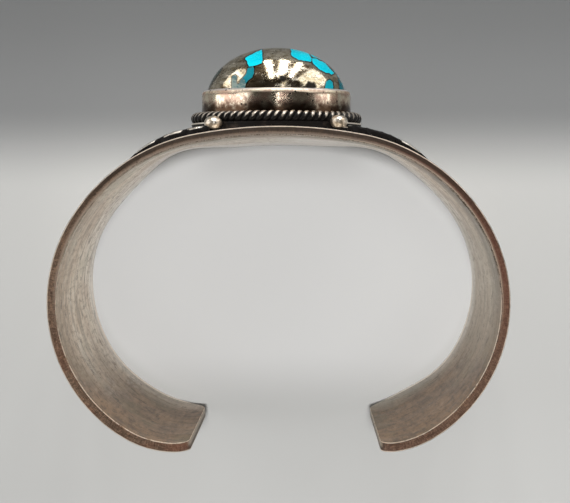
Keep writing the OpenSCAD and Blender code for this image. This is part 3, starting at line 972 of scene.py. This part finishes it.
# Without a seed, noise_vector is shifted by the clock
noise.seed_set(1)
seeds = []
for number in range(SCATTERED):
    width = math.sqrt((number + 0.5) / SCATTERED)
    jitter = noise.noise_vector(Vector((number * 1.7, 3.1, 0.4))) * 0.9
    spot = across_stone(width, number * GOLDEN_ANGLE) + jitter.xy
    height = STONE_TOP - (STONE_TOP - GIRDLE) * width ** 2.4
    is_turquoise = (number * 7) % 10 < 6
    seeds.append((over_band(spot, height), is_turquoise))
shown = []
vivid_and_shaded = []
for vertex in stone.data.vertices:
    spot = picture_place(vertex.co)
    drawn, bright = max((depth_in_outline(spot, outline) / PIXELS_A_MM, shade) for shade, outline in CHUNKS)
    facing = vertex.normal.dot((eye - vertex.co).normalized())
    near = sorted(((vertex.co - seed).length / MM, kind) for seed, kind in seeds)[:6]
    border = next((distance - near[0][0] for distance, kind in near if kind != near[0][1]), 3) / 2
    scattered = border - 0.12 if near[0][1] else -border
    in_view = min(1, max(0, (facing + 0.3) / 0.25))
    shown.append(in_view * drawn + (1 - in_view) * scattered)
    vivid_and_shaded.append(in_view * bright + (1 - in_view) * 0.7)
keep(stone.data, "turquoise", shown)
keep(stone.data, "vivid_and_shaded", vivid_and_shaded)
tree, shader = finish_tree(stone, "turquoise_in_pyrite")
chunk = step(tree, "Attribute", {}, attribute_name="turquoise").outputs["Fac"]
place = step(tree, "TexCoord", {}).outputs["Object"]
wobble = grain(tree, place, (1100.0, 1100.0, 1100.0), 3.0, 0.6)
chunk = sums(tree, "ADD", chunk, times(tree, sums(tree, "SUBTRACT", wobble, 0.5), 0.35))
blue = ramp(tree, chunk, -0.02, 0.04)
border = times(tree, ramp(tree, chunk, -0.22, -0.06), ramp(tree, chunk, 0.02, 0.1, 1.0, 0.0))
depths = grain(tree, place, (330.0, 330.0, 330.0), 4.0, 0.55, 3.0)
gold = grain(tree, place, (700.0, 1200.0, 700.0), 5.0, 0.65, 9.0)
sparkle = grain(tree, place, (2800.0, 2800.0, 2800.0), 3.0, 0.7, 5.0)
veined = grain(tree, place, (420.0, 800.0, 420.0), 4.0, 0.6, 21.0)
veins = sums(tree, "ABSOLUTE", sums(tree, "SUBTRACT", veined, 0.5))
tone_and_shade = step(tree, "Attribute", {}, attribute_name="vivid_and_shaded").outputs["Fac"]
turquoise = blend(tree, ramp(tree, depths, 0.35, 0.65), paint(0, 174, 194), paint(2, 192, 211))
# Less vivid chunks are deeper teal: on the chunks low on the dome this is painted shade
turquoise = blend(tree, ramp(tree, tone_and_shade, 0.9, 0.1), turquoise, paint(14, 84, 94))
milky = blend(tree, ramp(tree, gold, 0.46, 0.56), paint(66, 92, 94), paint(112, 124, 118))
turquoise = blend(tree, ramp(tree, tone_and_shade, 0.1, -0.25), turquoise, milky)
turquoise = stain(tree, turquoise, (
    (tone_and_shade, -0.35, -0.55, 1.0, (52, 62, 58)), (tone_and_shade, -0.65, -0.85, 1.0, (22, 18, 13)),
))
pyrite = blend(tree, ramp(tree, gold, 0.35, 0.65), paint(190, 174, 142), paint(246, 236, 214))
pyrite = stain(tree, pyrite, (
    (depths, 0.48, 0.72, 0.6, (136, 122, 96)), (sparkle, 0.56, 0.7, 0.6, (92, 76, 54)),
    (veins, 0.02, 0.0, 0.8, (58, 44, 32)),
))
pyrite = blend(tree, times(tree, border, 0.8), pyrite, paint(34, 28, 20))
tree.links.new(blend(tree, blue, pyrite, turquoise), shader.inputs["Base Color"])
tree.links.new(ramp(tree, blue, 0.0, 1.0, 1.0, 0.0), shader.inputs["Metallic"])
polish = ramp(tree, sparkle, 0.35, 0.65, 0.05, 0.15)
polish = sums(tree, "ADD", polish, ramp(tree, gold, 0.54, 0.66, 0.0, 0.14))
tree.links.new(sums(tree, "ADD", polish, times(tree, blue, 0.15)), shader.inputs["Roughness"])
shader.inputs["Specular IOR Level"].default_value = 0.12
relief = sums(tree, "ADD", gold, times(tree, sparkle, 0.4))
stand_up(tree, shader, relief, 0.2, 0.04 * MM)
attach(stone, "root")
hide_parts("stone")


# Floor and light
# A pale table with painted light and shade: it falls off to grey behind the stone and a little towards +X, is
# painted lighter inside the cuff, and a little darker at the foot of the band's front. The stone and the
# bezel mirror three tall strips of light before them, broad soft lamps at the front corners and sides, and
# small ones for single glints. The lamp overhead shows in nothing polished, and lights the table and the
# cuff.
bpy.ops.object.select_all(action="DESELECT")
bpy.ops.mesh.primitive_plane_add(size=3, location=(0, 0, 0))
floor = bpy.context.object
floor.name = "floor"
tree, shader = finish_tree(floor, "pale_table")
place = step(tree, "TexCoord", {}).outputs["Object"]
table_x, table_y = step(tree, "SeparateXYZ", {0: place}).outputs[:2]
# Painted shade: darker behind the stone
close_behind = ramp(tree, table_y, FRONT_Y - 24 * MM, FRONT_Y - 2 * MM)
behind = blend(tree, close_behind, paint(96, 97, 97), paint(113, 114, 114))
table = blend(tree, ramp(tree, table_y, FRONT_Y - 5 * MM, FRONT_Y + 9 * MM), behind, paint(172, 172, 170))
# 0 in the middle of the cuff, and 1 near the band: 33 and 45 are 1 over half its width and half its depth
inside = step(tree, "VectorMath", {0: place, 1: (0, -FRONT_Y - 21.5 * MM, 0)}, operation="ADD").outputs[0]
inside = step(tree, "VectorMath", {0: inside, 1: (33.0, 45.0, 0)}, operation="MULTIPLY").outputs[0]
out = step(tree, "VectorMath", {0: inside}, operation="LENGTH").outputs[1]
# Painted light: lighter inside the cuff, and darker at the foot of its front in the middle
lit = blend(tree, ramp(tree, out, 0.5, 0.98), paint(196, 196, 195), paint(192, 192, 191))
middle_third = ramp(tree, sums(tree, "ABSOLUTE", table_x), 18 * MM, 9 * MM)
foot = times(tree, ramp(tree, table_y, FRONT_Y + 9 * MM, FRONT_Y + 2 * MM), middle_third)
lit = blend(tree, foot, lit, paint(176, 176, 175))
within_ends = ramp(tree, table_y, FRONT_Y + 45 * MM, FRONT_Y + 34 * MM)
table = blend(tree, times(tree, ramp(tree, out, 1.12, 0.98), within_ends), table, lit)
# Painted shade: a little darker towards +X
table = blend(tree, ramp(tree, table_x, 22 * MM, 44 * MM, 0.0, 0.13), table, paint(80, 80, 80))
tree.links.new(table, shader.inputs["Base Color"])
shader.inputs["Roughness"].default_value = 0.8

world = bpy.data.worlds.new("studio")
world.use_nodes = True
tree = world.node_tree
look = step(tree, "SeparateXYZ", {0: step(tree, "TexCoord", {}).outputs["Generated"]}).outputs
room = blend(tree, ramp(tree, look[1], -0.5, 0.3), (0.2, 0.16, 0.125, 1), (0.46, 0.455, 0.45, 1))
tree.links.new(room, tree.nodes["Background"].inputs["Color"])
tree.links.new(ramp(tree, look[2], 0.2, 0.8, 1.0, 0.15), tree.nodes["Background"].inputs["Strength"])
bpy.context.scene.world = world
bpy.context.scene.view_settings.view_transform = "Standard"


def lamp(name, place, target, power, width, length, mirrored=True):
    """A soft light at a place (m), turned to a target. One that isn't mirrored shows in nothing polished."""
    data = bpy.data.lights.new(name, "AREA")
    data.energy = power
    data.shape = "RECTANGLE"
    data.size = width
    data.size_y = length
    held = bpy.data.objects.new(name, data)
    held.location = place
    held.rotation_euler = (Vector(target) - Vector(place)).to_track_quat("-Z", "Y").to_euler()
    held.visible_glossy = mirrored
    bpy.context.scene.collection.objects.link(held)


STRIP_Y = -0.45
STRIP_POWER = 20
CUFF_MIDDLE = (0, 0, 0.03)
for name, x, width, low, high in (
    ("strip_left", 0.06, 0.046, 0.01, 0.5), ("strip_middle", -0.049, 0.06, 0.01, 0.47),
    ("strip_right", -0.158, 0.05, 0.01, 0.42)
):
    tall = high - low
    middle = low + tall / 2
    lamp(name, (x, STRIP_Y, middle), (x, 0, middle), STRIP_POWER * width * tall, width, tall)
lamp("front_left", (0.42, -0.40, 0.17), CUFF_MIDDLE, 0.55, 0.33, 0.32)
lamp("front_right", (-0.403, -0.403, 0.215), CUFF_MIDDLE, 0.72, 0.28, 0.5)
lamp("upper_left", (0.34, -0.12, 0.42), CUFF_MIDDLE, 0.13, 0.18, 0.16)
lamp("side_left", (0.5, -0.01, 0.26), CUFF_MIDDLE, 0.7, 0.2, 0.5)
lamp("side_right", (-0.494, -0.03, 0.27), CUFF_MIDDLE, 0.22, 0.2, 0.26)
lamp("glint", (-0.07, -0.28, 0.44), CUFF_MIDDLE, 0.02, 0.04, 0.12)
lamp("catch", (-0.052, -0.08, 0.6), (-0.052, 0, 0.03), 0.09, 0.016, 0.2)
lamp("overhead", (-0.004, -0.007, 0.7), (-0.004, -0.007, 0.0), 4.8, 0.05, 0.05, mirrored=False)
